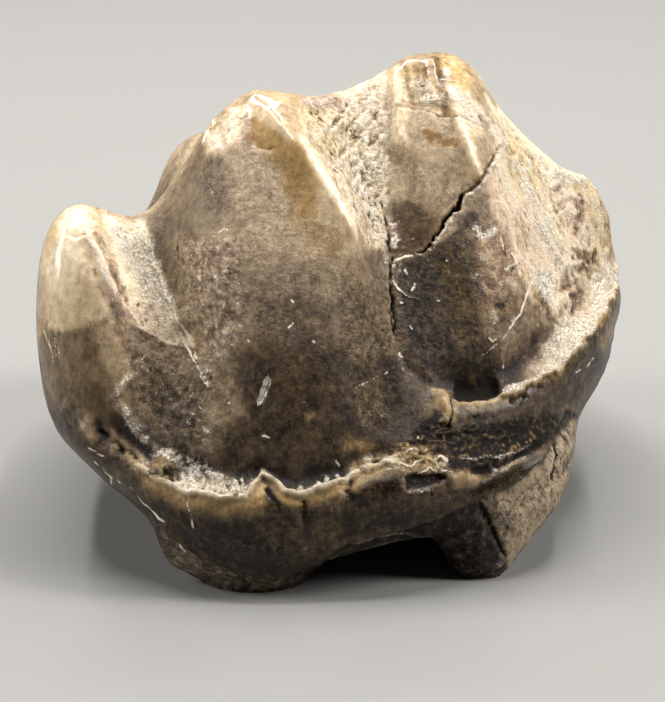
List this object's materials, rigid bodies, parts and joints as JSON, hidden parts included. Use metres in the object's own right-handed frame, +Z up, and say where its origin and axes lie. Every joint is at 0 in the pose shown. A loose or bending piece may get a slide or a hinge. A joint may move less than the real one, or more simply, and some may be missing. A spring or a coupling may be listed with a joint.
{
  "type": "fossil lophiodon molar",
  "caption": "Fossil upper molar of a lophiodon with a high ridged cheek wall, joined cusps, a raised rim and broken root stubs that it stands on, crown up.",
  "frame": {"origin": "centre of the tooth's outline, on the surface that the root stubs stand on", "axes": "+X along the tooth row towards the back of the jaw, -Y towards the cheek (the side in the picture), +Z up from the roots to the cusps"},
  "size_m": [0.044, 0.042, 0.0345],
  "materials": {
    "fossil_enamel": "glossy fossil enamel, cream olive to dark brown, with chalky cracks and dull root stubs"
  },
  "bodies": {
    "root": {"molar": "fossil_enamel"}
  },
  "joints": []
}
